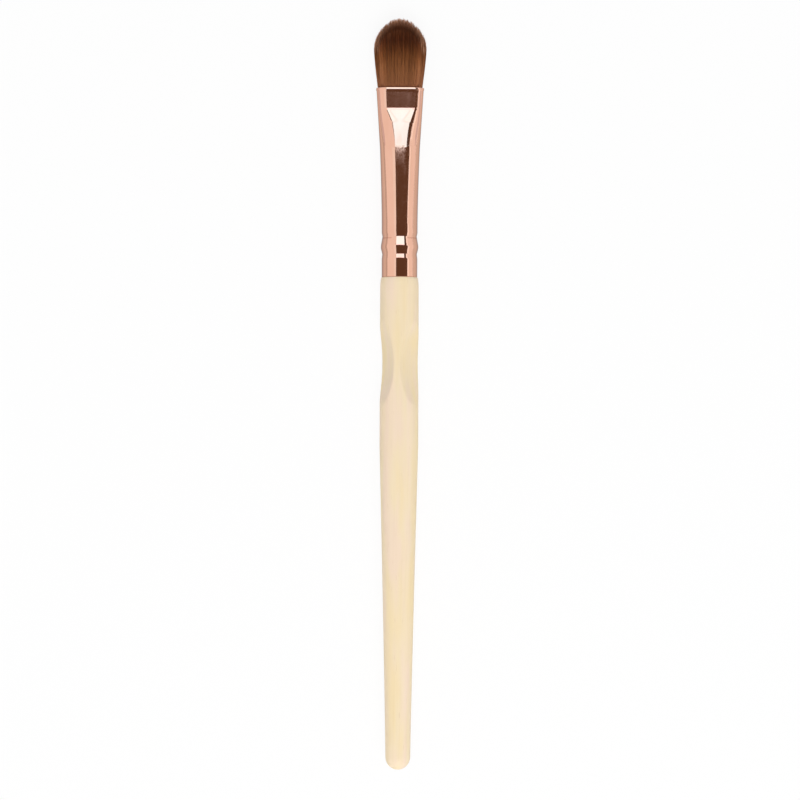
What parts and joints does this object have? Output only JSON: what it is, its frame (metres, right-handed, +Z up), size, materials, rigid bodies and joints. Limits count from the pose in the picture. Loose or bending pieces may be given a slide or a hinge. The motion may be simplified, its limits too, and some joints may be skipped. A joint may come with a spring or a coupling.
{
  "type": "eyeshadow brush",
  "caption": "Flat domed hair brush with a flattened metal ferrule and a scooped round wooden handle, lying on its side.",
  "frame": {"origin": "on the surface that the brush lies on, below the middle of its length and width", "axes": "+Y along the brush towards the tip of the hair, +Z up, square to the flat side of the tuft, +X across its width"},
  "size_m": [0.0124, 0.1749, 0.009],
  "materials": {
    "bamboo": "fine lengthwise grain, satin",
    "rose_gold_metal": "polished rose gold",
    "brown_hair": "fine straight hair",
    "thread": "waxed thread",
    "glue": "hardened clear glue"
  },
  "bodies": {
    "root": {"handle": "bamboo", "ferrule": "rose_gold_metal", "bristle_tuft": "brown_hair", "root_binding": "thread", "root_glue": "glue", "tenon_glue": "glue"}
  },
  "joints": []
}
